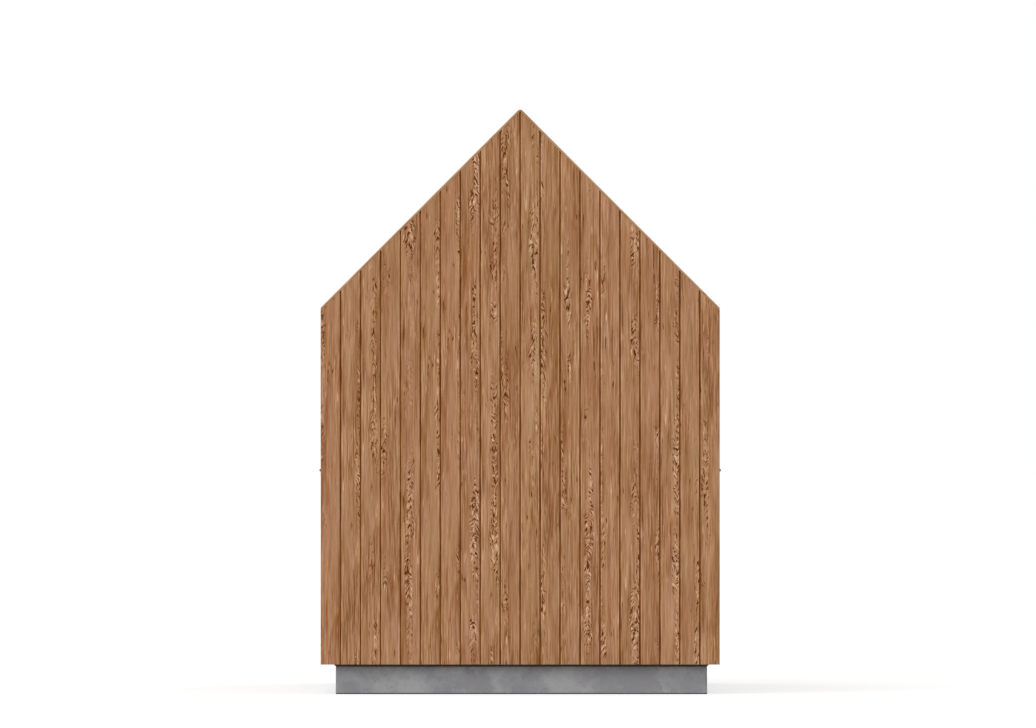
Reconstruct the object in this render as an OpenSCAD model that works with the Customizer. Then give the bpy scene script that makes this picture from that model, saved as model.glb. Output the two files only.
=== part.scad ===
// Small gable-ended timber cabin on a concrete plinth, boarded over its walls and roof alike.
// X runs across the gables, Y along the ridge and Z up, in millimetres.
// The origin is at ground level in the middle of the plan. The plain gable faces -Y, the door gable +Y.

/* [Boards] */
// Face width of one board with its groove
board_pitch = 120; // [100:1:150]
// Number of boards across a gable
gable_boards = 20; // [16:2:26]
// Number of boards along a side wall
side_boards = 30; // [18:1:44]
// Thickness of a board
board_t = 21; // [18:0.5:28]
// Width of the shadow groove at the face
groove_w = 10; // [6:0.5:16]
// Width of the shadow groove at its floor
groove_floor_w = 6; // [3:0.5:6]
// Depth of the shadow groove
groove_d = 10; // [4:0.5:13]

/* [Shell] */
// Height of the wall boards from their bottom edge to the eaves
wall_h = 2146; // [2000:1:2700]
// Pitch of the roof in degrees
roof_pitch = 45; // [38:0.5:52]
// Thickness of a wall panel
wall_t = 120; // [90:1:200]
// Thickness of a roof panel
roof_t = 140; // [90:1:220]

/* [Base] */
// Height of the concrete plinth
plinth_h = 167; // [100:1:400]
// Distance from the left wall's face in to the plinth
plinth_in_left = 90; // [40:1:130]
// Distance from the right wall's face in to the plinth
plinth_in_right = 75; // [40:1:130]
// Distance from each gable's face in to the plinth
plinth_in_end = 84; // [40:1:130]
// Chamfer on the plinth's upright corners
plinth_chamfer = 12; // [4:1:30]
// Thickness of the damp-proof layer on the plinth
damp_t = 12; // [4:1:25]
// How far the damp-proof layer splays out past the plinth
damp_lap = 12; // [2:1:18]
// Height of the closed floor frame
floor_frame_h = 120; // [80:1:200]
// Thickness of the floor deck
deck_t = 22; // [15:1:30]

/* [Trim] */
// Thickness of the verge strips along the roof's sloping ends
verge_t = 12; // [8:0.5:15]
// Width of the ridge strip
ridge_w = 48; // [32:1:90]
// Width of the flat along the top of the ridge
ridge_flat = 18; // [6:1:18]
// Height of the joint bead on each side wall above the bottom of the boards
bead_up = 1169; // [800:1:1500]
// Height of the joint bead's section
bead_h = 18; // [12:1:30]
// How far the joint bead stands out from the boards
bead_out = 8; // [3:0.5:12]

/* [Door] */
// Number of boards across the door
door_boards = 8; // [6:2:10]
// Height of the door leaf
leaf_h = 2000; // [1850:1:2150]
// Thickness of the door leaf with its boards
leaf_t = 65; // [50:1:90]
// Gap round the door leaf
leaf_gap = 4; // [2:0.5:8]
// Width of the door frame's timbers
frame_w = 40; // [30:1:60]
// Width of the stop that the leaf shuts against
stop_w = 15; // [10:1:25]
// Height of the door threshold
threshold_h = 40; // [30:1:60]
// Height of the knob above the floor
knob_up = 1020; // [900:1:1150]
// Diameter of the knob
knob_d = 52; // [40:1:65]
// Thickness of the knob
knob_t = 24; // [16:1:30]
// How far the knob stands out from the boards
knob_out = 58; // [50:1:75]
// Diameter of the knob's neck
neck_d = 20; // [12:1:28]
// Diameter of the rose behind the knob
rose_d = 54; // [40:1:70]
// Thickness of the rose
rose_t = 7; // [4:0.5:12]
// Height of a hinge
hinge_h = 100; // [60:1:140]
// Diameter of a hinge's knuckle
knuckle_d = 14; // [10:0.5:20]
// Depth of a hinge's plates behind the face of the boards
hinge_d = 40; // [25:1:45]
// Distance of the outer hinges from the leaf's ends
hinge_in = 220; // [120:1:350]

/* [Hidden] */
half_w = gable_boards * board_pitch / 2;
half_len = side_boards * board_pitch / 2 + board_t;
panel_half_len = half_len - board_t;
panel_half_w = half_w - board_t;
room_half_w = panel_half_w - wall_t;
room_half_len = panel_half_len - wall_t;

plinth_x0 = plinth_in_left - half_w;
plinth_x1 = half_w - plinth_in_right;
plinth_y = half_len - plinth_in_end;

boards_z = plinth_h + damp_t;
eaves_z = boards_z + wall_h;
apex_z = eaves_z + half_w * tan(roof_pitch);
frame_top_z = boards_z + floor_frame_h;
floor_z = frame_top_z + deck_t;
bead_z = boards_z + bead_up;
slope_len = half_w / cos(roof_pitch);
ridge_half = ridge_w / 2;
flat_half = ridge_flat / 2;

door_half = door_boards * board_pitch / 2;
leaf_half = door_half - leaf_gap;
frame_half = door_half + frame_w;
threshold_z = frame_top_z + threshold_h;
leaf_z = threshold_z + leaf_gap;
leaf_top_z = leaf_z + leaf_h;
door_top_z = leaf_top_z + leaf_gap;
stop_y = half_len - leaf_t;
knob_x = -door_half + board_pitch / 2;
knob_z = floor_z + knob_up;
hinge_x = door_half - leaf_gap / 2;

// Cuts run this far past the faces they open
past = 2;

board_colour = "peru";
trim_colour = "burlywood";
panel_colour = "tan";
frame_colour = "sienna";

// Height of the plane that lies the given depth below the roof's outer face
function roof_z(x, depth) = apex_z - abs(x) * tan(roof_pitch) - depth / cos(roof_pitch);

// Point at the given distance from the middle, on the plane at the given depth
function on_roof(x, depth) = [x, roof_z(x, depth)];

// Section of a wall layer between two depths, mitred to the roof layer above it
function wall_section(outer, inner, roof_outer, roof_inner, low_z) = [
    [half_w - inner, low_z], [half_w - outer, low_z],
    on_roof(half_w - outer, roof_outer), on_roof(half_w - inner, roof_inner)
];

// Outline between two upright lines, from a level bottom up to the roof plane at the given depth
function under_roof(from_x, to_x, low_z, depth) = [
    [from_x, low_z], [to_x, low_z], on_roof(to_x, depth), on_roof(from_x, depth)
];

// Outline of a gable's pointed top below the given depth, from right to left
function gable_top(x, depth) = [on_roof(x, depth), on_roof(0, depth), on_roof(-x, depth)];

// Draws its child, an X-Z section, from one Y to the other
module along_y(from_y, to_y) {
    translate([0, to_y, 0]) rotate([90, 0, 0]) linear_extrude(to_y - from_y) children();
}

// Draws its child, a Y-Z section, from one X to the other
module along_x(from_x, to_x) {
    translate([from_x, 0, 0]) rotate([90, 0, 90]) linear_extrude(to_x - from_x) children();
}

// A box between two corners
module block(low, high) {
    translate(low) cube(high - low);
}

// The same piece on the left or the right side
module on_side(side) {
    mirror([side < 0 ? 1 : 0, 0, 0]) children();
}

// The same piece on the plain or the door gable
module on_gable(end) {
    mirror([0, end < 0 ? 1 : 0, 0]) children();
}

// Cutter for one shadow groove, cut towards +X and running up Z
module groove(length) {
    flare = (groove_w - groove_floor_w) / 2 * past / groove_d;
    linear_extrude(length)
        polygon([
            [-past, -groove_w / 2 - flare], [groove_d, -groove_floor_w / 2],
            [groove_d, groove_floor_w / 2], [-past, groove_w / 2 + flare]
        ]);
}

// Grooves between the gable boards that lie well inside two upright lines
module gable_grooves(from_x, to_x) {
    for (i = [1 : gable_boards - 1]) {
        x = i * board_pitch - half_w;
        if (x > from_x + groove_w && x < to_x - groove_w)
            translate([x, half_len, boards_z - past]) rotate([0, 0, -90]) groove(apex_z - boards_z + past);
    }
}

// Grooves between the boards of a side wall, on the right
module side_grooves() {
    for (i = [1 : side_boards - 1])
        translate([half_w, i * board_pitch - panel_half_len, boards_z - past])
            rotate([0, 0, 180]) groove(wall_h + 2 * past);
}

// Grooves between the boards of a roof slope, on the right
module roof_grooves() {
    for (i = [1 : side_boards - 1])
        translate([0, i * board_pitch - panel_half_len, apex_z])
            rotate([0, 90 + roof_pitch, 0]) translate([0, 0, -past]) groove(slope_len + 2 * past);
}

// Cast concrete plinth
module plinth() {
    c = plinth_chamfer;
    color("gray") linear_extrude(plinth_h)
        polygon([
            [plinth_x0 + c, -plinth_y], [plinth_x1 - c, -plinth_y],
            [plinth_x1, c - plinth_y], [plinth_x1, plinth_y - c],
            [plinth_x1 - c, plinth_y], [plinth_x0 + c, plinth_y],
            [plinth_x0, plinth_y - c], [plinth_x0, c - plinth_y]
        ]);
}

// Section of the damp-proof layer across two opposite edges of the plinth, splayed out to its top
function splayed(low, high) = [
    [low, plinth_h], [high, plinth_h], [high + damp_lap, boards_z], [low - damp_lap, boards_z]
];

// Damp-proof layer between the plinth and the floor frame
module damp_proof_layer() {
    color("#2c2a26") intersection() {
        along_y(-plinth_y - damp_lap, plinth_y + damp_lap) polygon(splayed(plinth_x0, plinth_x1));
        along_x(plinth_x0 - damp_lap, plinth_x1 + damp_lap) polygon(splayed(-plinth_y, plinth_y));
    }
}

// Closed floor frame that carries the walls
module floor_frame() {
    color(frame_colour)
        block([-panel_half_w, -panel_half_len, boards_z], [panel_half_w, panel_half_len, frame_top_z]);
}

// Deck inside the walls
module floor_deck() {
    color(trim_colour)
        block([-room_half_w, -room_half_len, frame_top_z], [room_half_w, room_half_len, floor_z]);
}

// Panel of a side wall, mitred to the roof panel
module side_wall(side) {
    color(panel_colour) on_side(side) along_y(-panel_half_len, panel_half_len)
        polygon(wall_section(board_t, board_t + wall_t, board_t, board_t + roof_t, frame_top_z));
}

// Panel of a roof slope, from the eaves mitre to the ridge
module roof_panel(side) {
    color(panel_colour) on_side(side) along_y(-panel_half_len, panel_half_len)
        polygon([
            on_roof(0, board_t), on_roof(panel_half_w, board_t),
            on_roof(room_half_w, board_t + roof_t), on_roof(0, board_t + roof_t)
        ]);
}

// Panel that fills the plain gable between the side walls and the roof
module plain_gable_wall() {
    color(panel_colour) along_y(-panel_half_len, -room_half_len)
        polygon(concat([[-room_half_w, frame_top_z], [room_half_w, frame_top_z]],
                       gable_top(room_half_w, board_t + roof_t)));
}

// Panel of the door gable beside the door
module door_gable_wall_beside(side) {
    color(panel_colour) on_side(side) along_y(room_half_len, panel_half_len)
        polygon(under_roof(frame_half, room_half_w, frame_top_z, board_t + roof_t));
}

// Panel of the door gable over the door
module door_gable_wall_over() {
    low_z = door_top_z + frame_w;
    color(panel_colour) along_y(room_half_len, panel_half_len)
        polygon(concat([[-frame_half, low_z], [frame_half, low_z]],
                       gable_top(frame_half, board_t + roof_t)));
}

// Boards of the plain gable
module plain_gable_boards() {
    color(board_colour) on_gable(-1) difference() {
        along_y(panel_half_len, half_len)
            polygon(concat([[-half_w, boards_z], [half_w, boards_z]], gable_top(half_w, verge_t)));
        gable_grooves(-half_w, half_w);
    }
}

// Boards of the door gable beside the door
module door_gable_boards_beside(side) {
    color(board_colour) on_side(side) difference() {
        along_y(panel_half_len, half_len) polygon(under_roof(door_half, half_w, boards_z, verge_t));
        gable_grooves(door_half, half_w);
    }
}

// Boards of the door gable over the door
module door_gable_boards_over() {
    color(board_colour) difference() {
        along_y(panel_half_len, half_len)
            polygon(concat([[-door_half, door_top_z], [door_half, door_top_z]],
                           gable_top(door_half, verge_t)));
        gable_grooves(-door_half, door_half);
    }
}

// Boards of the door gable under the threshold
module door_gable_boards_under() {
    color(board_colour) difference() {
        block([-door_half, panel_half_len, boards_z], [door_half, half_len, frame_top_z]);
        gable_grooves(-door_half, door_half);
    }
}

// Boards of a side wall below the joint bead
module wall_boards_lower(side) {
    color(board_colour) on_side(side) difference() {
        block([panel_half_w, -panel_half_len, boards_z], [half_w, panel_half_len, bead_z - bead_h / 2]);
        side_grooves();
    }
}

// Boards of a side wall above the joint bead, mitred to the roof boards
module wall_boards_upper(side) {
    color(board_colour) on_side(side) difference() {
        along_y(-panel_half_len, panel_half_len)
            polygon(wall_section(0, board_t, 0, board_t, bead_z + bead_h / 2));
        side_grooves();
    }
}

// Boards of a roof slope, from the eaves mitre to the ridge strip
module roof_boards(side) {
    color(board_colour) on_side(side) difference() {
        along_y(-panel_half_len, panel_half_len)
            polygon([
                on_roof(ridge_half, 0), on_roof(half_w, 0),
                on_roof(panel_half_w, board_t), on_roof(ridge_half, board_t)
            ]);
        roof_grooves();
    }
}

// Round-nosed bead that covers the joint in the boards of a side wall
module joint_bead(side) {
    nose_x = half_w + bead_out - bead_h / 2;
    color(trim_colour) on_side(side) along_y(-panel_half_len, panel_half_len) {
        translate([panel_half_w, bead_z - bead_h / 2]) square([nose_x - panel_half_w, bead_h]);
        translate([nose_x, bead_z]) circle(d = bead_h, $fn = 48);
    }
}

// Ridge strip that saddles the roof panels between the two slopes of boards
module ridge_strip() {
    color(trim_colour) along_y(-panel_half_len, panel_half_len)
        polygon([
            on_roof(-ridge_half, board_t), on_roof(0, board_t), on_roof(ridge_half, board_t),
            on_roof(ridge_half, 0), on_roof(flat_half, 0), on_roof(-flat_half, 0), on_roof(-ridge_half, 0)
        ]);
}

// Verge strip that caps the gable boards' sloping ends, plumb-jointed and blunt at the ridge
module verge_strip(end, side) {
    color(trim_colour) on_gable(end) on_side(side) along_y(panel_half_len, half_len)
        polygon([
            [0, roof_z(flat_half, 0)], on_roof(flat_half, 0), on_roof(half_w, 0),
            on_roof(half_w, verge_t), on_roof(0, verge_t)
        ]);
}

// Door leaf, boarded flush with the gable
module door_leaf() {
    color(board_colour) difference() {
        block([-leaf_half, stop_y, leaf_z], [leaf_half, half_len, leaf_top_z]);
        gable_grooves(-leaf_half, leaf_half);
    }
}

// Jamb of the door frame, rebated for the leaf
module door_jamb(side) {
    color(frame_colour) on_side(side) translate([0, 0, threshold_z])
        linear_extrude(door_top_z - threshold_z)
            polygon([
                [door_half, panel_half_len], [door_half, stop_y],
                [leaf_half - stop_w, stop_y], [leaf_half - stop_w, room_half_len],
                [frame_half, room_half_len], [frame_half, panel_half_len]
            ]);
}

// Head of the door frame, with its stop between the jambs
module door_head() {
    stop_half = leaf_half - stop_w;
    color(frame_colour) union() {
        block([-frame_half, room_half_len, door_top_z], [frame_half, panel_half_len, door_top_z + frame_w]);
        block([-stop_half, room_half_len, leaf_top_z - stop_w], [stop_half, stop_y, door_top_z]);
    }
}

// Threshold across the wall panel and out to the face of the boards
module door_threshold() {
    color(frame_colour) union() {
        block([-frame_half, room_half_len, frame_top_z], [frame_half, panel_half_len, threshold_z]);
        block([-door_half, panel_half_len, frame_top_z], [door_half, half_len, threshold_z]);
    }
}

// Turned knob with a round rim, on its neck and rose
module door_knob() {
    rim_x = (knob_d - knob_t) / 2;
    color("silver") translate([knob_x, half_len, knob_z]) rotate([-90, 0, 0])
        rotate_extrude($fn = 64) {
            square([rose_d / 2, rose_t]);
            square([neck_d / 2, knob_out - knob_t / 2]);
            translate([0, knob_out - knob_t]) square([rim_x, knob_t]);
            translate([rim_x, knob_out - knob_t / 2]) circle(d = knob_t, $fn = 32);
        }
}

// Butt hinge: plates in the gap beside the leaf and a knuckle in front of it
module door_hinge(middle_z) {
    knuckle_y = half_len + knuckle_d / 2;
    color("silver") translate([0, 0, middle_z - hinge_h / 2]) union() {
        translate([hinge_x, knuckle_y, 0]) cylinder(h = hinge_h, d = knuckle_d, $fn = 32);
        block([leaf_half, half_len - hinge_d, 0], [door_half, knuckle_y, hinge_h]);
    }
}

plinth();
damp_proof_layer();
floor_frame();
floor_deck();
side_wall(-1);  // left_wall
side_wall(1);  // right_wall
plain_gable_wall();
door_gable_wall_beside(-1);  // door_gable_wall_left
door_gable_wall_beside(1);  // door_gable_wall_right
door_gable_wall_over();
roof_panel(-1);  // left_roof_panel
roof_panel(1);  // right_roof_panel
plain_gable_boards();
door_gable_boards_beside(-1);  // door_gable_boards_left
door_gable_boards_beside(1);  // door_gable_boards_right
door_gable_boards_over();
door_gable_boards_under();
wall_boards_lower(-1);  // left_wall_boards_lower
wall_boards_upper(-1);  // left_wall_boards_upper
wall_boards_lower(1);  // right_wall_boards_lower
wall_boards_upper(1);  // right_wall_boards_upper
roof_boards(-1);  // left_roof_boards
roof_boards(1);  // right_roof_boards
joint_bead(-1);  // left_joint_bead
joint_bead(1);  // right_joint_bead
ridge_strip();
verge_strip(-1, -1);  // plain_gable_verge_left
verge_strip(-1, 1);  // plain_gable_verge_right
verge_strip(1, -1);  // door_gable_verge_left
verge_strip(1, 1);  // door_gable_verge_right
door_leaf();
door_jamb(-1);  // door_jamb_left
door_jamb(1);  // door_jamb_right
door_head();
door_threshold();
door_knob();
door_hinge(leaf_z + hinge_in);  // door_hinge_lower
door_hinge(leaf_z + leaf_h / 2);  // door_hinge_middle
door_hinge(leaf_top_z - hinge_in);  // door_hinge_upper
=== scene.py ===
import math
import random

import bmesh
import bpy
from mathutils import Matrix, Vector


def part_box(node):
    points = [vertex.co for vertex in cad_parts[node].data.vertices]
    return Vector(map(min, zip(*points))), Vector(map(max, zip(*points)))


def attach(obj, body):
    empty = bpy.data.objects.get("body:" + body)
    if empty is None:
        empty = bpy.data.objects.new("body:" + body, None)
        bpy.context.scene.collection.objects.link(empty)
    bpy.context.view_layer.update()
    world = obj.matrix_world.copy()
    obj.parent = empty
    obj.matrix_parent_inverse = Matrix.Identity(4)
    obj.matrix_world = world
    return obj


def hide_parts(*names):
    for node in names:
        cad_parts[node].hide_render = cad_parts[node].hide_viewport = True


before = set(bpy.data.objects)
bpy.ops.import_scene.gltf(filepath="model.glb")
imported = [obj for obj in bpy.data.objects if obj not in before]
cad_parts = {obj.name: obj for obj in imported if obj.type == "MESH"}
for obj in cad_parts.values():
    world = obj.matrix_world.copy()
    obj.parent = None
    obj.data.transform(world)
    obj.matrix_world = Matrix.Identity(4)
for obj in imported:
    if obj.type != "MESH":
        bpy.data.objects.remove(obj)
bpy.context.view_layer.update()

# Plinth: one block of cast concrete, struck from smooth shutters, with its upright corners chamfered.
# It stands on the ground and carries the whole cabin. Its lowest edge is painted dark, as painted shade along
# the ground.
UP = Vector((0, 0, 1))
PARALLEL = 0.999
PLINTH_CHAMFER = 0.012
PLINTH_ARRIS = 0.004
ARRIS_STEPS = 2
CONCRETE_PALE = (0.372, 0.372, 0.381)
CONCRETE_DARK = (0.254, 0.254, 0.266)
CONCRETE_PORE_SHADE = (0.050, 0.050, 0.053)
CONCRETE_FOOT_SHADE = (0.045, 0.045, 0.047)
CONCRETE_RELIEF = 0.002
SMEAR_REACH = 0.16
SPECK_CONTRAST = 0.35
BLOTCH_DARKENS = 0.4
PORE_SHADE_DARKENS = 0.5
FOOT_SHADE_TOP = 0.0085
FOOT_SHADE_SOFT = 0.002
FOOT_SHADE_STRAY = 0.004
NOISE_MEAN = 0.5
# Sockets of a Mix node that mixes colours
MIX_FACTOR, MIX_FIRST, MIX_SECOND, MIX_RESULT = 0, 6, 7, 2


def box_of(node):
    """A CAD node's lowest and highest corners."""
    return [Vector(corner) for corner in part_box(node)]


def block_in_box(low, high):
    """A bmesh block that fills the box between two corners."""
    bm = bmesh.new()
    place = Matrix.Translation((low + high) / 2) @ Matrix.Diagonal((*(high - low), 1))
    bmesh.ops.create_cube(bm, size=1, matrix=place)
    return bm


def runs_along(edge, axis):
    """True where an edge lies along an axis."""
    along = (edge.verts[1].co - edge.verts[0].co).normalized()
    return abs(along.dot(axis)) > PARALLEL


def ease_edges(bm, edges, offset, steps=ARRIS_STEPS):
    """Takes the sharpness off the given edges."""
    bmesh.ops.bevel(bm, geom=edges, offset=offset, offset_type="OFFSET", affect="EDGES", segments=steps,
                    profile=0.5, material=-1, clamp_overlap=True)


def fit_piece(bm, name, node, material):
    """Turns a bmesh into a finished piece that stands for its CAD node."""
    mesh = bpy.data.meshes.new(name)
    bm.to_mesh(mesh)
    bm.free()
    mesh.materials.append(material)
    piece = bpy.data.objects.new(name, mesh)
    bpy.context.scene.collection.objects.link(piece)
    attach(piece, "root")
    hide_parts(node)


def new_material(name):
    """A new material, its node tree and its Principled shader."""
    material = bpy.data.materials.new(name)
    material.use_nodes = True
    tree = material.node_tree
    return material, tree, tree.nodes["Principled BSDF"]


def add(tree, kind, inputs=None, **settings):
    """Adds a node, sets it up, and sets or links its inputs."""
    node = tree.nodes.new(kind)
    for key, value in settings.items():
        setattr(node, key, value)
    for key, value in (inputs or {}).items():
        if isinstance(value, bpy.types.NodeSocket):
            tree.links.new(value, node.inputs[key])
        else:
            node.inputs[key].default_value = value
    return node


def maths(tree, operation, *values):
    """A Math node's result."""
    return add(tree, "ShaderNodeMath", dict(enumerate(values)), operation=operation).outputs[0]


def vectors(tree, operation, inputs):
    """A Vector Math node's result."""
    return add(tree, "ShaderNodeVectorMath", inputs, operation=operation).outputs[0]


def total(tree, first, *others):
    """The sum of some values."""
    for value in others:
        first = maths(tree, "ADD", first, value)
    return first


def product(tree, first, *others):
    """The product of some values."""
    for value in others:
        first = maths(tree, "MULTIPLY", first, value)
    return first


def lifted(tree, value, least, adds):
    """least where a value is 0, and least plus adds where it is 1."""
    return maths(tree, "ADD", least, maths(tree, "MULTIPLY", value, adds))


def about_zero(tree, value, reach):
    """Noise moved to lie about zero, times its reach."""
    return maths(tree, "MULTIPLY", maths(tree, "SUBTRACT", value, NOISE_MEAN), reach)


def ease_between(tree, value, start, end):
    """0 at start, 1 at end, with an eased change between them."""
    node = add(tree, "ShaderNodeMapRange", {"Value": value, "From Min": start, "From Max": end},
               interpolation_type="SMOOTHSTEP")
    return node.outputs["Result"]


def blend(tree, factor, first, second, **settings):
    """A mix of two colours, each a socket or a written colour."""
    first, second = [(*colour, 1) if isinstance(colour, tuple) else colour for colour in (first, second)]
    inputs = {MIX_FACTOR: factor, MIX_FIRST: first, MIX_SECOND: second}
    return add(tree, "ShaderNodeMix", inputs, data_type="RGBA", **settings).outputs[MIX_RESULT]


def noise(tree, place, scale, detail, roughness=0.5):
    """A Noise texture's value."""
    node = add(tree, "ShaderNodeTexNoise",
               {"Vector": place, "Scale": scale, "Detail": detail, "Roughness": roughness})
    return node.outputs["Fac"]


def stretched(tree, place, scale):
    """Coordinates scaled along each axis."""
    return add(tree, "ShaderNodeMapping", {"Vector": place, "Scale": scale}).outputs[0]


def split(tree, vector):
    """A vector's X, Y and Z."""
    return add(tree, "ShaderNodeSeparateXYZ", {0: vector}).outputs


def object_place(tree):
    """The place on a piece, in the cabin's own metres."""
    return add(tree, "ShaderNodeTexCoord").outputs["Object"]


def dress(tree, shader, colour, roughness, height, strength, relief):
    """Gives a shader its colour and roughness, and a bump of the given relief in metres."""
    bump = add(tree, "ShaderNodeBump", {"Height": height, "Strength": strength, "Distance": relief})
    for name, socket in (("Base Color", colour), ("Roughness", roughness), ("Normal", bump.outputs[0])):
        tree.links.new(socket, shader.inputs[name])


def concrete():
    """Cast concrete: smeared grey clouds, darker blotches, fine specks, and painted shade in a few open pores
    and along the foot.
    """
    material, tree, shader = new_material("cast_concrete")
    place = object_place(tree)
    smear = add(tree, "ShaderNodeTexNoise", {"Vector": place, "Scale": 11, "Detail": 3}).outputs["Color"]
    smear = vectors(tree, "SUBTRACT", {0: smear, 1: [NOISE_MEAN] * 3})
    smear = vectors(tree, "SCALE", {0: smear, "Scale": SMEAR_REACH})
    smeared = vectors(tree, "ADD", {0: place, 1: smear})
    clouds = noise(tree, smeared, scale=4.2, detail=4, roughness=0.58)
    blotches = noise(tree, smeared, scale=15, detail=3, roughness=0.6)
    specks = noise(tree, place, scale=60, detail=4, roughness=0.7)
    pores = add(tree, "ShaderNodeTexVoronoi", {"Vector": place, "Scale": 85}).outputs["Distance"]
    porous = ease_between(tree, noise(tree, place, scale=9, detail=2), start=0.5, end=0.62)
    pores = product(tree, ease_between(tree, pores, start=0.17, end=0.08), porous)
    tone = total(tree, ease_between(tree, clouds, start=0.34, end=0.64),
                 about_zero(tree, specks, SPECK_CONTRAST))
    darker = product(tree, ease_between(tree, blotches, start=0.56, end=0.68), BLOTCH_DARKENS)
    face = blend(tree, maths(tree, "SUBTRACT", tone, darker), CONCRETE_DARK, CONCRETE_PALE)
    # Painted shade: the open pores are darkened almost to black, as the shade inside them.
    face = blend(tree, product(tree, pores, PORE_SHADE_DARKENS), face, CONCRETE_PORE_SHADE)
    # Painted shade: the lowest few millimetres, along the ground, turn almost black, under a slightly ragged
    # line.
    foot_shade_line = total(tree, FOOT_SHADE_TOP, about_zero(tree, specks, FOOT_SHADE_STRAY))
    below = maths(tree, "SUBTRACT", foot_shade_line, split(tree, place)["Z"])
    face = blend(tree, ease_between(tree, below, start=0, end=FOOT_SHADE_SOFT), face, CONCRETE_FOOT_SHADE)
    roughness = lifted(tree, clouds, least=0.72, adds=0.2)
    height = maths(tree, "SUBTRACT", specks, pores)
    dress(tree, shader, face, roughness, height, strength=0.35, relief=CONCRETE_RELIEF)
    return material


bm = block_in_box(*box_of("plinth"))
ease_edges(bm, [e for e in bm.edges if runs_along(e, UP)], PLINTH_CHAMFER, steps=1)
ease_edges(bm, [e for e in bm.edges if not runs_along(e, UP)], PLINTH_ARRIS)
fit_piece(bm, "concrete_plinth", "plinth", concrete())

# Damp-proof layer: a black bitumen board laid over the plinth, with its edge splayed out a little beyond it.
# The floor frame is bedded on it, so only its dark edge shows under the boards, black also as painted shade
# there.
BITUMEN_ARRIS = 0.002
BITUMEN_RELIEF = 0.001
# Near black both as bitumen and as painted shade under the boards' overhang.
BITUMEN_SHADE_BLACK = (0.012, 0.0115, 0.010)
BITUMEN_WORN = (0.030, 0.029, 0.027)


def bitumen():
    """Bitumen board: black, which also stands for painted shade under the boards; gritty, and greyer where it
    is worn.
    """
    material, tree, shader = new_material("bitumen_and_shade_board")
    place = object_place(tree)
    grit = noise(tree, place, scale=180, detail=3, roughness=0.6)
    lightened = ease_between(tree, noise(tree, place, scale=14, detail=3), start=0.45, end=0.75)
    colour = blend(tree, lightened, BITUMEN_SHADE_BLACK, BITUMEN_WORN)
    roughness = lifted(tree, grit, least=0.6, adds=0.3)
    dress(tree, shader, colour, roughness, grit, strength=0.4, relief=BITUMEN_RELIEF)
    return material


low, high = box_of("damp_proof_layer")
seat_low, seat_high = box_of("plinth")
bm = block_in_box(low, high)
for vert in bm.verts:
    if vert.co.z < (low.z + high.z) / 2:
        vert.co.x = seat_high.x if vert.co.x > 0 else seat_low.x
        vert.co.y = seat_high.y if vert.co.y > 0 else seat_low.y
ease_edges(bm, list(bm.edges), BITUMEN_ARRIS)
fit_piece(bm, "bitumen_and_shade_layer", "damp_proof_layer", bitumen())

# Frame and panels: a floor frame and deck of planed softwood, and wall and roof panels sheathed in board.
# They are screwed together into a box, which the outer boards hide but for the floor frame's underside.
WOOD_SHEEN = 0.08
WOOD_ROUGH = 0.66
WOOD_SHADE = 0.40
WOOD_BUMP = 0.5
HEART_WANDER = 0.045
FLAME_LEAN = 0.55
FLAME_DARK = 2.20
FLAME_PALE = 1.30
FLAME_MEAN = 0.10
FLAME_LEAST = 0.35
FLAME_RELIEF = 0.5
FLECK_DARK = 0.8
FLECK_PALE = 0.6
SAME_HUE = 0.5
PANEL_RELIEF = 0.0006
PLANED_EARLY = (0.48, 0.31, 0.17)
PLANED_LATE = (0.30, 0.165, 0.08)
SHEATHING_EARLY = (0.52, 0.40, 0.25)
SHEATHING_LATE = (0.34, 0.24, 0.13)
GRAIN_ALONG = (math.pi / 2, 0, 0)
GRAIN_UP = (0, 0, 0)


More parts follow.
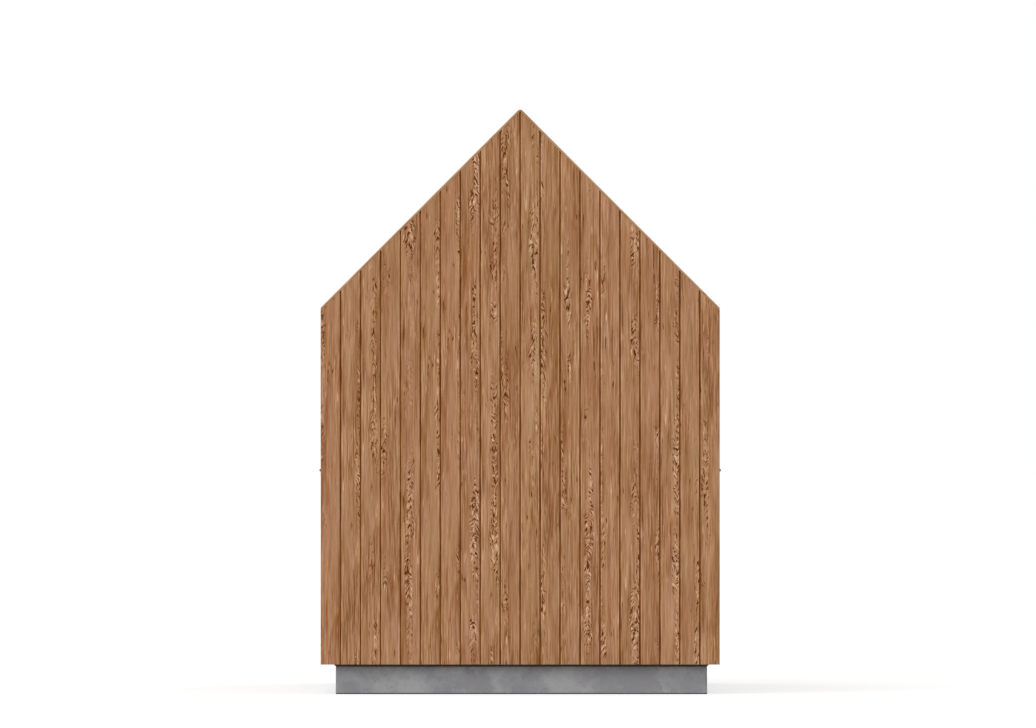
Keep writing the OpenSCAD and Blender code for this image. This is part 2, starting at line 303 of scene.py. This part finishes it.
def wood_figure():
    """The figure of sawn wood, as a node group. Place is in metres: X across the wood, Y out of it and Z
    along it. The saw cuts the growth rings at a slope, so along the heart line they show as flames, which are
    short dashes that lean away from it on both sides, in patches that come and go. All the wood has streaks,
    calm in some stretches and lively in others, with a few dark and pale flecks."""
    group = bpy.data.node_groups.new("wood_figure", "ShaderNodeTree")
    sockets = group.interface
    sockets.new_socket("Place", in_out="INPUT", socket_type="NodeSocketVector")
    for name, usual in (("Heart Line", 0), ("Slope", 0.5), ("Figure", 0.6), ("Tone", 0), ("Warmth", 0)):
        sockets.new_socket(name, in_out="INPUT", socket_type="NodeSocketFloat").default_value = usual
    for name in ("Early Wood", "Late Wood"):
        sockets.new_socket(name, in_out="INPUT", socket_type="NodeSocketColor")
    sockets.new_socket("Colour", in_out="OUTPUT", socket_type="NodeSocketColor")
    for name in ("Roughness", "Height"):
        sockets.new_socket(name, in_out="OUTPUT", socket_type="NodeSocketFloat")
    given = group.nodes.new("NodeGroupInput").outputs
    result = group.nodes.new("NodeGroupOutput").inputs
    place = given["Place"]
    spot = split(group, place)

    def swing(across, along, reach=1, detail=2, roughness=0.5, at=place):
        """Noise about zero, drawn out along the wood: across and along are its counts in a metre."""
        drawn_out = stretched(group, at, (across, across, along))
        value = noise(group, drawn_out, scale=1, detail=detail, roughness=roughness)
        return about_zero(group, value, reach)

    aside = total(group, maths(group, "SUBTRACT", spot["X"], given["Heart Line"]),
                  swing(across=5, along=1.7, reach=HEART_WANDER))
    off_heart = maths(group, "ABSOLUTE", aside)
    depth = total(group, off_heart, product(group, spot["Z"], given["Slope"]),
                  swing(across=4, along=8, reach=0.07), swing(across=34, along=10, reach=0.026, detail=1))
    lean = total(group, spot["Y"], product(group, aside, FLAME_LEAN))
    leaning = add(group, "ShaderNodeCombineXYZ", {"X": depth, "Y": lean, "Z": spot["Z"]}).outputs[0]
    dash = swing(across=110, along=20, at=leaning)
    dark_dash = ease_between(group, dash, start=0.03, end=0.15)
    pale_dash = ease_between(group, dash, start=-0.05, end=-0.18)

    ragged = total(group, off_heart, swing(across=70, along=18, reach=0.034),
                   swing(across=4, along=2.2, reach=0.060, detail=1))
    band = ease_between(group, ragged, start=0.029, end=0.014)
    patch = ease_between(group, swing(across=11, along=2.4), start=-0.06, end=0.15)
    vigour = total(group, FLAME_LEAST, ease_between(group, swing(across=45, along=7), start=-0.16, end=0.12))
    flames = maths(group, "SUBTRACT", product(group, dark_dash, FLAME_DARK), FLAME_MEAN)
    flames = maths(group, "SUBTRACT", flames, product(group, pale_dash, FLAME_PALE))
    flames = product(group, given["Figure"], vigour, band, patch, flames)

    streak = swing(across=330, along=11, reach=0.5, detail=3, roughness=0.6)
    dark_fleck = ease_between(group, swing(across=64, along=9), start=0.18, end=0.26)
    pale_fleck = ease_between(group, swing(across=58, along=7), start=0.16, end=0.25)
    flecks = maths(group, "SUBTRACT", product(group, dark_fleck, FLECK_DARK),
                   product(group, pale_fleck, FLECK_PALE))
    fine = total(group, flecks, streak, swing(across=165, along=12, reach=0.85),
                 swing(across=150, along=4.6, reach=1.30, detail=3))
    lively = ease_between(group, swing(across=9, along=1.6, detail=1), start=-0.15, end=0.15)
    fine = product(group, fine, lifted(group, lively, least=0.50, adds=0.68))
    shade = total(group, WOOD_SHADE, fine, flames, swing(across=62, along=3.4, reach=0.66, detail=3),
                  swing(across=26, along=1.6, reach=0.56, detail=3),
                  swing(across=10, along=1.2, reach=0.52), given["Tone"])
    shade = add(group, "ShaderNodeClamp", {"Value": shade, "Min": -0.5, "Max": 1.15}).outputs[0]

    colour = blend(group, shade, given["Early Wood"], given["Late Wood"], clamp_factor=False)
    hue = total(group, given["Warmth"], swing(across=30, along=2.6, reach=0.022), SAME_HUE)
    richness = total(group, swing(across=24, along=3, reach=0.16),
                     lifted(group, shade, least=0.94, adds=0.15))
    tinted = add(group, "ShaderNodeHueSaturation", {"Hue": hue, "Saturation": richness, "Color": colour})
    group.links.new(tinted.outputs[0], result["Colour"])
    group.links.new(total(group, WOOD_ROUGH, streak), result["Roughness"])
    height = maths(group, "SUBTRACT", streak, product(group, flames, FLAME_RELIEF))
    group.links.new(height, result["Height"])
    return group


FIGURE = wood_figure()


def wood(tree, shader, place, early, late, relief, **given):
    """Puts the wood figure on a material and returns its colour. given holds the figure's other inputs."""
    inputs = {"Place": place, "Early Wood": (*early, 1), "Late Wood": (*late, 1)}
    inputs.update({name.replace("_", " "): value for name, value in given.items()})
    figure = add(tree, "ShaderNodeGroup", inputs, node_tree=FIGURE).outputs
    shader.inputs["Specular IOR Level"].default_value = WOOD_SHEEN
    dress(tree, shader, figure["Colour"], figure["Roughness"], figure["Height"], WOOD_BUMP, relief)
    return figure["Colour"]


def panel_wood(name, early, late, turn):
    """Timber for a CAD node, turned so that the grain runs along the piece."""
    material, tree, shader = new_material(name)
    place = add(tree, "ShaderNodeMapping", {"Vector": object_place(tree), "Rotation": turn}).outputs[0]
    wood(tree, shader, place, early, late, PANEL_RELIEF)
    return material


def finish_nodes(material, *names):
    """Gives their material to CAD nodes that stay as they are."""
    for name in names:
        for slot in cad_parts[name].material_slots:
            slot.material = material


finish_nodes(panel_wood("planed_softwood_flat", PLANED_EARLY, PLANED_LATE, GRAIN_ALONG),
             "floor_frame", "floor_deck")
finish_nodes(panel_wood("sheathing_board", SHEATHING_EARLY, SHEATHING_LATE, GRAIN_UP),
             "left_wall", "right_wall", "plain_gable_wall", "door_gable_wall_left", "door_gable_wall_right",
             "door_gable_wall_over", "left_roof_panel", "right_roof_panel")

# Plain gable: planed, oiled softwood boards, tongued together with open grooves and nailed by the tongue.
# Every board is its own length of wood, with its own heart line, figure and tone, and eased edges.
# They stand upright from side to side and are sawn off along the roof's slopes.
ALONG = Vector((0, 1, 0))
SIDES = {"left": -1, "right": 1}
ROOF_PITCH = math.radians(45)
BOARD_PITCH = 0.120
BOARD_THICK = 0.021
BOARD_ARRIS = 0.0028
GROOVE_WIDE = 0.0095
GROOVE_DEEP = 0.010
TONGUE_THICK = 0.006
TONGUE_LAP = 0.0015
TONGUE_PLAY = 0.0002
SLOT_DEEP = 0.0035
SAW_WASTE = 0.01
RING_STEP = 0.16
RING_DIGITS = 4
EDGE_WANDER = 0.0008
SAME_PLACE = 1e-6
ON_FACE = 1e-5
SHARP_TURN = 0.3
BOARD_EARLY = (0.555, 0.300, 0.152)
BOARD_LATE = (0.165, 0.052, 0.011)
BOARD_RELIEF = 0.0007
GROOVE_SHADE_PALE = (0.345, 0.126, 0.020)
GROOVE_SHADE_DARK = (0.205, 0.063, 0.009)
PATCHY_STRETCH = (40, 40, 7)
ARRIS_HIGHLIGHT_WIDE = 0.0065
FIRST_ARRIS_HIGHLIGHT = 0.35
LAST_ARRIS_HIGHLIGHT = 0.45
GROOVE_SHADE_START = 0.0004
GROOVE_SHADE_FULL = 0.0028
START_ALONG = (2, 40)
HEART_ASIDE = (0.005, 0.062)
RING_SLOPE = (0.35, 0.65)
TONE_SPREAD = 0.018
WARMTH_SPREAD = 0.0015
FIGURE_SHOWN = (0.5, 1.15)
WOOD_SEED = 20
rng = random.Random(WOOD_SEED)


def attribute(tree, name):
    """A mark that each length of wood carries."""
    return add(tree, "ShaderNodeAttribute", attribute_name=name).outputs["Vector"]


def boards_wood():
    """Oiled boards, with painted highlights along their long edges and painted shade, in dark browns, in the
    grooves.
    """
    material, tree, shader = new_material("oiled_boards")
    place = attribute(tree, "grain")
    spot = split(tree, place)
    heart = split(tree, attribute(tree, "heart"))
    tint = split(tree, attribute(tree, "tint"))
    half_face = (BOARD_PITCH - GROOVE_WIDE) / 2
    patchy = noise(tree, stretched(tree, place, PATCHY_STRETCH), scale=1, detail=2)
    # Painted highlight: each board's long edges are painted paler, more on its last edge than its first, in
    # broken stretches.
    last_arris_highlight = ease_between(tree, spot["X"], start=half_face - ARRIS_HIGHLIGHT_WIDE, end=half_face - BOARD_ARRIS)
    first_arris_highlight = ease_between(tree, spot["X"], start=ARRIS_HIGHLIGHT_WIDE - half_face, end=BOARD_ARRIS - half_face)
    lightened = total(tree, product(tree, last_arris_highlight, LAST_ARRIS_HIGHLIGHT), product(tree, first_arris_highlight, FIRST_ARRIS_HIGHLIGHT))
    grooved = maths(tree, "SUBTRACT", 1, maths(tree, "ABSOLUTE", heart["Y"]))
    lightened = product(tree, lightened, ease_between(tree, patchy, start=0.38, end=0.58), grooved)
    colour = wood(tree, shader, place, BOARD_EARLY, BOARD_LATE, BOARD_RELIEF, Heart_Line=heart["X"],
                  Slope=heart["Z"], Tone=maths(tree, "SUBTRACT", tint["X"], lightened), Warmth=tint["Y"],
                  Figure=tint["Z"])
    # Painted shade: from just below the face, the grooves' walls and floors take a dark brown, paler and
    # darker in patches.
    groove_shade = ease_between(tree, spot["Y"], start=BOARD_THICK - GROOVE_SHADE_START, end=BOARD_THICK - GROOVE_SHADE_FULL)
    open_edge = maths(tree, "GREATER_THAN", product(tree, spot["X"], heart["Y"]), 0)
    groove_shade = product(tree, groove_shade, maths(tree, "SUBTRACT", 1, open_edge))
    groove = blend(tree, ease_between(tree, patchy, start=0.34, end=0.62), GROOVE_SHADE_DARK, GROOVE_SHADE_PALE)
    tree.links.new(blend(tree, groove_shade, colour, groove), shader.inputs["Base Color"])
    return material


def either_way(least, most):
    """A random amount to one side or the other."""
    return rng.choice((-1, 1)) * rng.uniform(least, most)


def mark_grain(bm, across, out, along, middle, open_side=0):
    """Gives one length of wood its own grain. across, out and along are its directions, middle a point in it,
    and open_side is -1 or 1 where its first or last edge borders on no groove."""
    grain, heart, tint = [bm.verts.layers.float_vector.new(name) for name in ("grain", "heart", "tint")]
    start = rng.uniform(*START_ALONG)
    heart_line = either_way(*HEART_ASIDE)
    own_heart = Vector((heart_line, open_side, either_way(*RING_SLOPE)))
    own_tint = Vector((rng.gauss(0, TONE_SPREAD), rng.gauss(0, WARMTH_SPREAD), rng.uniform(*FIGURE_SHOWN)))
    for vert in bm.verts:
        off = vert.co - middle
        vert[grain] = Vector((off.dot(across), off.dot(out), off.dot(along) + start))
        vert[heart] = own_heart
        vert[tint] = own_tint


def run_length(outline, run, steps=1):
    """A bmesh of an outline of points, run along a vector in even steps."""
    bm = bmesh.new()
    end = bm.faces.new([bm.verts.new(point) for point in outline])
    for _ in range(steps):
        grown = bmesh.ops.extrude_face_region(bm, geom=[end, *end.edges, *end.verts])["geom"]
        end = next(g for g in grown if isinstance(g, bmesh.types.BMFace))
        ring = [g for g in grown if isinstance(g, bmesh.types.BMVert)]
        bmesh.ops.translate(bm, verts=ring, vec=run / steps)
    bmesh.ops.recalc_face_normals(bm, faces=list(bm.faces))
    return bm


def wander_edge(bm, edge):
    """Lets a sawn edge stray a little from the straight, ring by ring along the board."""
    strays = {}
    for vert in bm.verts:
        if abs(vert.co.x - edge) < SAME_PLACE:
            ring = round(vert.co.z, RING_DIGITS)
            if ring not in strays:
                strays[ring] = rng.uniform(-EDGE_WANDER, EDGE_WANDER)
            vert.co.x += strays[ring]


def cut_away(bm, point, normal):
    """Saws off what lies on the normal's side of a plane and closes the cut."""
    cut = bmesh.ops.bisect_plane(bm, geom=[*bm.verts, *bm.edges, *bm.faces], dist=SAME_PLACE, plane_co=point,
                                 plane_no=normal, clear_outer=True)
    rim = [e for e in cut["geom_cut"] if isinstance(e, bmesh.types.BMEdge)]
    if rim:
        bmesh.ops.holes_fill(bm, edges=rim)


def sharp_edges(bm):
    """The edges where two faces meet at a corner."""
    return [e for e in bm.edges if e.calc_face_angle(0) > SHARP_TURN]


def board_outline(left, right, first, last):
    """A board's section, as (across, out). Each board but the first has a slot for its neighbour's tongue,
    and each but the last has a tongue."""
    groove_floor = BOARD_THICK - GROOVE_DEEP
    tongue_back = groove_floor - TONGUE_THICK
    outline = [(left, 0), (right, 0)]
    if not last:
        tip = right + GROOVE_WIDE + TONGUE_LAP
        outline += [(right, tongue_back), (tip, tongue_back), (tip, groove_floor), (right, groove_floor)]
    outline += [(right, BOARD_THICK), (left, BOARD_THICK)]
    if not first:
        slot_end = left + SLOT_DEEP
        slot_top = groove_floor + TONGUE_PLAY
        slot_bottom = tongue_back - TONGUE_PLAY
        outline += [(left, slot_top), (slot_end, slot_top), (slot_end, slot_bottom), (left, slot_bottom)]
    return outline


def saw_board(place, left, right, length, first, last, cuts):
    """One board. left and right are its edges across the wall and length its run. place takes (across, out,
    along) to the cabin's axes, and cuts are saw cuts there, as (point, normal)."""
    outline = [(u, v, 0) for u, v in board_outline(left, right, first, last)]
    board = run_length(outline, UP * length, max(1, round(length / RING_STEP)))
    if not first:
        wander_edge(board, left)
    if not last:
        wander_edge(board, right)
    bmesh.ops.transform(board, matrix=place, verts=list(board.verts))
    for point, normal in cuts:
        cut_away(board, point, normal)
    back = place.inverted()
    on_face = {v for v in board.verts if abs((back @ v.co).y - BOARD_THICK) < ON_FACE}
    ease_edges(board, [e for e in sharp_edges(board) if on_face.issuperset(e.verts)], BOARD_ARRIS)
    across, out, along = place.to_3x3().transposed()
    mark_grain(board, across, out, along, place @ Vector(((left + right) / 2, 0, 0)), open_side=last - first)
    return board


def join(whole, part):
    """Adds a finished length of wood to a piece."""
    scrap = bpy.data.meshes.new("length_of_wood")
    part.to_mesh(scrap)
    part.free()
    whole.from_mesh(scrap)
    bpy.data.meshes.remove(scrap)


def facing(corner, out, up):
    """Where boards go on a face: across, out and up from a corner on the panel behind them."""
    return Matrix.Translation(corner) @ Matrix((out.cross(up), out, up)).transposed().to_4x4()


def bays_in(width):
    """How many boards a width takes."""
    return round(width / BOARD_PITCH)


def board_wall(bm, place, bays, length, cuts=(), inset=0):
    """Covers a face with boards. The outer edges of the first and last board stand in by inset."""
    for bay in range(bays):
        first = bay == 0
        last = bay == bays - 1
        left = bay * BOARD_PITCH + (inset if first else GROOVE_WIDE / 2)
        right = (bay + 1) * BOARD_PITCH - (inset if last else GROOVE_WIDE / 2)
        join(bm, saw_board(place, left, right, length, first, last, cuts))


def roof_out(side):
    """Straight out of a side's roof."""
    return Vector((side * math.sin(ROOF_PITCH), 0, math.cos(ROOF_PITCH)))


BOARDS = boards_wood()
low, high = box_of("plain_gable_boards")
half_width = high.x
gable_face = low.y
gable_cuts = [(UP * high.z, roof_out(side)) for side in SIDES.values()]
bm = bmesh.new()
place = facing((high.x, high.y, low.z), -ALONG, UP)
board_wall(bm, place, bays_in(2 * half_width), high.z - low.z + SAW_WASTE, gable_cuts)
fit_piece(bm, "plain_gable_boarding", "plain_gable_boards", BOARDS)

# Door gable: the same boards on the far gable, sawn off along the slopes and cut round the doorway.
# A row of short ones, left square, closes the gable under the threshold.
for part in ("left", "right", "over", "under"):
    node = f"door_gable_boards_{part}"
    low, high = box_of(node)
    sloped = part != "under"
    length = high.z - low.z + (SAW_WASTE if sloped else 0)
    bm = bmesh.new()
    board_wall(bm, facing(low, ALONG, UP), bays_in(high.x - low.x), length, gable_cuts if sloped else ())
    fit_piece(bm, f"door_gable_boarding_{part}", node, BOARDS)

# Side walls: the same boards in two lengths, the lower ones square-topped under the joint bead.
# The upper ones are mitred at the eaves, where the roof's boards carry on from them.
ACROSS = Vector((1, 0, 0))
MITRE = ROOF_PITCH / 2
eaves = box_of("right_wall_boards_upper")[1].z


def eaves_mitre(side):
    """The saw cut at the eaves, midway between wall and roof, with its normal upwards."""
    return Vector((side * half_width, 0, eaves)), Vector((-side * math.sin(MITRE), 0, math.cos(MITRE)))


for name, side in SIDES.items():
    for part in ("lower", "upper"):
        node = f"{name}_wall_boards_{part}"
        low, high = box_of(node)
        inner, start = (low.x, high.y) if side > 0 else (high.x, low.y)
        mitred = part == "upper"
        length = high.z - low.z + (SAW_WASTE if mitred else 0)
        place = facing((inner, start, low.z), ACROSS * side, UP)
        bm = bmesh.new()
        board_wall(bm, place, bays_in(high.y - low.y), length, [eaves_mitre(side)] if mitred else ())
        fit_piece(bm, f"{name}_wall_boarding_{part}", node, BOARDS)

# Roof: the same boards laid down each slope, from gable to gable, and nailed to its panel.
# They are mitred against the walls' boards at the eaves and sawn plumb beside the ridge strip.
ROOF_WASTE = 0.02


def roof_up(side):
    """Straight up a side's slope."""
    return Vector((-side * math.cos(ROOF_PITCH), 0, math.sin(ROOF_PITCH)))


for name, side in SIDES.items():
    node = f"{name}_roof_boards"
    low, high = box_of(node)
    inner, start = (low.x, high.y) if side > 0 else (high.x, low.y)
    corner, upwards = eaves_mitre(side)
    foot = corner + ALONG * start - roof_out(side) * BOARD_THICK - roof_up(side) * ROOF_WASTE
    plumb = (ACROSS * inner, ACROSS * -side)
    place = facing(foot, roof_out(side), roof_up(side))
    length = half_width / math.cos(ROOF_PITCH) + 2 * ROOF_WASTE
    bm = bmesh.new()
    board_wall(bm, place, bays_in(high.y - low.y), length, [(corner, -upwards), plumb])
    fit_piece(bm, f"{name}_roof_boarding", node, BOARDS)

# Joint beads: a strip of the same wood with a round nose along each side wall, as long as its boarding.
# Each is pinned over the joint between the wall's lower and upper boards and sheds the rain.
TRIM_EARLY = (0.580, 0.335, 0.185)
TRIM_LATE = (0.28, 0.12, 0.045)
TRIM_RELIEF = 0.0005
TRIM_FIGURE = 0.25
TRIM_HEART = 0.09
NOSE_SHARE = 0.49
NOSE_STEPS = 6


def trim_wood():
    """Oiled trim: straight-grained, cut well away from the heart."""
    material, tree, shader = new_material("oiled_trim")
    tone = split(tree, attribute(tree, "tint"))["X"]
    wood(tree, shader, attribute(tree, "grain"), TRIM_EARLY, TRIM_LATE, TRIM_RELIEF, Heart_Line=TRIM_HEART,
         Tone=tone, Figure=TRIM_FIGURE)
    return material


TRIM = trim_wood()
for name, side in SIDES.items():
    node = f"{name}_joint_bead"
    low, high = box_of(node)
    bm = block_in_box(low, high)
    nose_x = high.x if side > 0 else low.x
    nose = [e for e in bm.edges if runs_along(e, ALONG) and abs(e.verts[0].co.x - nose_x) < SAME_PLACE]
    ease_edges(bm, nose, (high.z - low.z) * NOSE_SHARE, NOSE_STEPS)
    mark_grain(bm, UP, ACROSS * side, ALONG, low)
    fit_piece(bm, f"{name}_bead", node, TRIM)

# Ridge strip: one length of the same wood, hollowed below into a saddle and planed flat along its top.
# It sits astride the two roof panels and fills the gap between their boards, flush with both slopes.
TRIM_ARRIS = 0.0012
rise = math.tan(ROOF_PITCH)
low, high = box_of("ridge_strip")
true_apex = eaves + half_width * rise
flat_half = (true_apex - high.z) / rise
saddle = true_apex - BOARD_THICK / math.cos(ROOF_PITCH)
drop = high.x * rise
outline = [(low.x, saddle - drop), (0, saddle), (high.x, saddle - drop), (high.x, true_apex - drop),
           (flat_half, high.z), (-flat_half, high.z), (low.x, true_apex - drop)]
bm = run_length([(x, low.y, z) for x, z in outline], ALONG * (high.y - low.y))
ease_edges(bm, sharp_edges(bm), TRIM_ARRIS)
mark_grain(bm, ACROSS, UP, ALONG, UP * low.z)
fit_piece(bm, "ridge_saddle", "ridge_strip", TRIM)

# Verge strips: thin straight laths of the same wood, one along each slope of each gable.
# They are pinned on edge over the sawn ends of the gable's boards, and their heads meet at the peak.
for gable in ("plain", "door"):
    for name, side in SIDES.items():
        node = f"{gable}_gable_verge_{name}"
        low, high = box_of(node)
        foot = side * half_width
        outline = [(0, high.z), (side * flat_half, high.z), (foot, eaves), (foot, low.z),
                   (0, low.z + half_width * rise)]
        bm = run_length([(x, low.y, z) for x, z in outline], ALONG * (high.y - low.y))
        ease_edges(bm, sharp_edges(bm), TRIM_ARRIS)
        mark_grain(bm, ALONG, roof_out(side), -roof_up(side), low)
        fit_piece(bm, f"{gable}_verge_{name}", node, TRIM)

# Door: a leaf of the same boards on a solid core, hung flush with the gable in a rebated frame.
# The frame's jambs and head are planed softwood, screwed into the doorway.
CORE_ARRIS = 0.002
low, high = box_of("door_leaf")
width = high.x - low.x
bays = bays_in(width)
gap = (bays * BOARD_PITCH - width) / 2
backing = high.y - BOARD_THICK
core = block_in_box(low, Vector((high.x, backing, high.z)))
ease_edges(core, list(core.edges), CORE_ARRIS)
mark_grain(core, ACROSS, ALONG, UP, low)
bm = bmesh.new()
join(bm, core)
board_wall(bm, facing((low.x - gap, backing, low.z), ALONG, UP), bays, high.z - low.z, inset=gap)
fit_piece(bm, "door_leaf_boarding", "door_leaf", BOARDS)
finish_nodes(panel_wood("planed_softwood_upright", PLANED_EARLY, PLANED_LATE, GRAIN_UP),
             "door_jamb_left", "door_jamb_right", "door_head")

# Threshold: a thick sill of the same wood, laid across the foot of the doorway between the gable's panels.
# Its nose is notched to run out between the boards, over the short ones below it.
THRESHOLD_ARRIS = 0.003
low, high = box_of("door_threshold")
nose_low, nose_high = box_of("door_gable_boards_under")
shoulder = nose_low.y
outline = [(low.x, low.y), (high.x, low.y), (high.x, shoulder), (nose_high.x, shoulder),
           (nose_high.x, high.y), (nose_low.x, high.y), (nose_low.x, shoulder), (low.x, shoulder)]
bm = run_length([(x, y, low.z) for x, y in outline], UP * (high.z - low.z))
ease_edges(bm, sharp_edges(bm), THRESHOLD_ARRIS)
mark_grain(bm, ALONG, UP, ACROSS, low)
fit_piece(bm, "threshold", "door_threshold", TRIM)

# Knob: a round knob with a full rim, on a neck and a round rose, turned from steel and brushed to a satin.
# The rose is screwed to the door's boards from behind.
KNOB_RADIUS = 0.026
KNOB_THICK = 0.024
NECK_RADIUS = 0.010
ROSE_THICK = 0.007
ROSE_RIM = 0.002
RIM_STEPS = 8
KNOB_STEPS = 48
KNOB_SHARP = math.radians(40)
STEEL_BRIGHT = (0.50, 0.49, 0.47)
STEEL_DULL = (0.33, 0.325, 0.315)
STEEL_RELIEF = 0.0004
BRUSHED_STRETCH = (900, 900, 60)
BRUSHED_SHARE = 0.6
SMEARED_SHARE = 0.4


def satin_steel():
    """Brushed steel, with fine strokes and faint smears."""
    material, tree, shader = new_material("satin_steel")
    place = object_place(tree)
    brushed = noise(tree, stretched(tree, place, BRUSHED_STRETCH), scale=1, detail=3)
    smeared = noise(tree, place, scale=40, detail=3)
    tone = total(tree, product(tree, brushed, BRUSHED_SHARE), product(tree, smeared, SMEARED_SHARE))
    colour = blend(tree, ease_between(tree, tone, start=0.35, end=0.65), STEEL_DULL, STEEL_BRIGHT)
    roughness = lifted(tree, brushed, least=0.26, adds=0.22)
    dress(tree, shader, colour, roughness, brushed, strength=0.15, relief=STEEL_RELIEF)
    shader.inputs["Metallic"].default_value = 1
    return material


STEEL = satin_steel()
low, high = box_of("door_knob")
centre = (low + high) / 2
rose_radius = (high.x - low.x) / 2
knob_out = high.y - low.y
rim = KNOB_THICK / 2
turns = [math.pi * (step / RIM_STEPS - 0.5) for step in range(RIM_STEPS + 1)]
profile = [(0, 0), (rose_radius, 0), (rose_radius, ROSE_THICK - ROSE_RIM),
           (rose_radius - ROSE_RIM, ROSE_THICK), (NECK_RADIUS, ROSE_THICK),
           (NECK_RADIUS, knob_out - KNOB_THICK)]
profile += [(KNOB_RADIUS - rim + rim * math.cos(turn), knob_out - rim + rim * math.sin(turn))
            for turn in turns]
profile.append((0, knob_out))
bm = bmesh.new()
line = [bm.verts.new((centre.x + radius, low.y + out, centre.z)) for radius, out in profile]
edges = [bm.edges.new(pair) for pair in zip(line, line[1:])]
bmesh.ops.spin(bm, geom=line + edges, cent=centre, axis=ALONG, dvec=(0, 0, 0), angle=2 * math.pi,
               steps=KNOB_STEPS, use_merge=True)
bmesh.ops.remove_doubles(bm, verts=list(bm.verts), dist=SAME_PLACE)
bmesh.ops.recalc_face_normals(bm, faces=list(bm.faces))
for face in bm.faces:
    face.smooth = True
for edge in bm.edges:
    edge.smooth = edge.calc_face_angle(0) < KNOB_SHARP
fit_piece(bm, "turned_knob", "door_knob", STEEL)

# Hinges: three butt hinges of the same steel, each with a knuckle in five parts round its pin.
# Their leaves are let into the gap between door and frame, so only an edge and the knuckle show.
KNUCKLES = 5
KNUCKLE_GAP = 0.0008
KNUCKLE_RIM = 0.0006
KNUCKLE_SIDES = 24
leaf_edge = box_of("door_leaf")[1].x
frame_edge = box_of("door_gable_boards_right")[0].x
for part in ("lower", "middle", "upper"):
    node = f"door_hinge_{part}"
    low, high = box_of(node)
    radius = (high.x - low.x) / 2
    pin = Vector(((low.x + high.x) / 2, high.y - radius, low.z))
    tall = (high.z - low.z) / KNUCKLES
    bm = block_in_box(Vector((leaf_edge, low.y, low.z)), Vector((frame_edge, pin.y, high.z)))
    for knuckle in range(KNUCKLES):
        place = Matrix.Translation(pin + UP * tall * (knuckle + 0.5))
        made = bmesh.ops.create_cone(bm, cap_ends=True, segments=KNUCKLE_SIDES, radius1=radius,
                                     radius2=radius, depth=tall - KNUCKLE_GAP, matrix=place)
        corners = set(made["verts"])
        rims = [e for e in bm.edges if corners.issuperset(e.verts) and not runs_along(e, UP)]
        ease_edges(bm, rims, KNUCKLE_RIM, steps=1)
    fit_piece(bm, f"butt_hinge_{part}", node, STEEL)

# Floor and daylight: a plain white floor, an even white sky, and one broad soft sun from the front left.
# The sky lights the object at its fill strength and looks white to the camera and in reflections.
FLOOR_HALF = 200
FLOOR_GREY = (0.45, 0.45, 0.45, 1)
FLOOR_GLOW = 0.62
WHITE = (1, 1, 1, 1)
SKY_FILL = 0.88
SUN_STRENGTH = 1.05
SUN_SIZE = math.radians(50)
SUN_TURN = math.radians(-32)
SUN_HEIGHT = math.radians(28)


def seen_as_background(tree):
    """1 for a ray from the camera, in a reflection or through glass, and 0 for one that lights the object."""
    path = add(tree, "ShaderNodeLightPath").outputs
    mirrored = maths(tree, "MAXIMUM", path["Is Glossy Ray"], path["Is Transmission Ray"])
    return maths(tree, "MAXIMUM", path["Is Camera Ray"], mirrored)


bm = bmesh.new()
bmesh.ops.create_grid(bm, x_segments=1, y_segments=1, size=FLOOR_HALF)
mesh = bpy.data.meshes.new("floor")
bm.to_mesh(mesh)
bm.free()
floor = bpy.data.objects.new("floor", mesh)
bpy.context.scene.collection.objects.link(floor)
material, tree, shader = new_material("white_floor")
shader.inputs["Base Color"].default_value = FLOOR_GREY
shader.inputs["Roughness"].default_value = 1
shader.inputs["Specular IOR Level"].default_value = 0
shader.inputs["Emission Color"].default_value = WHITE
tree.links.new(product(tree, seen_as_background(tree), FLOOR_GLOW), shader.inputs["Emission Strength"])
mesh.materials.append(material)

world = bpy.data.worlds.new("white_sky")
bpy.context.scene.world = world
world.use_nodes = True
tree = world.node_tree
brightness = add(tree, "ShaderNodeMapRange",
                 {"Value": seen_as_background(tree), "To Min": SKY_FILL, "To Max": 1}).outputs["Result"]
sky = tree.nodes["Background"]
sky.inputs["Color"].default_value = WHITE
tree.links.new(brightness, sky.inputs["Strength"])

sun = bpy.data.lights.new("sun", "SUN")
sun.energy = SUN_STRENGTH
sun.angle = SUN_SIZE
sun_object = bpy.data.objects.new("sun", sun)
sun_object.rotation_euler = (math.pi / 2 - SUN_HEIGHT, 0, SUN_TURN)
bpy.context.scene.collection.objects.link(sun_object)

# Camera: far off and level, with a long lens, so that the gable is seen square on and nearly flat.
# Its place follows from where the gable's middle, width and foot lie in the photograph, in pixels.
PHOTO_WIDE, PHOTO_HIGH = 1036, 728
GABLE_PIXELS = 399.1
GABLE_MIDDLE_X = 520.2
GROUND_Y = 694.4
LENS = 600
SENSOR = 36
FARTHEST = 1000
pixel = 2 * half_width / GABLE_PIXELS
distance = pixel * PHOTO_WIDE * LENS / SENSOR
camera = bpy.data.cameras.new("camera")
camera.lens = LENS
camera.sensor_width = SENSOR
camera.clip_end = FARTHEST
camera_object = bpy.data.objects.new("camera", camera)
camera_object.location = ((PHOTO_WIDE / 2 - GABLE_MIDDLE_X) * pixel, gable_face - distance,
                          (GROUND_Y - PHOTO_HIGH / 2) * pixel)
camera_object.rotation_euler = (math.pi / 2, 0, 0)
bpy.context.scene.collection.objects.link(camera_object)
bpy.context.scene.camera = camera_object
bpy.context.scene.view_settings.view_transform = "Standard"
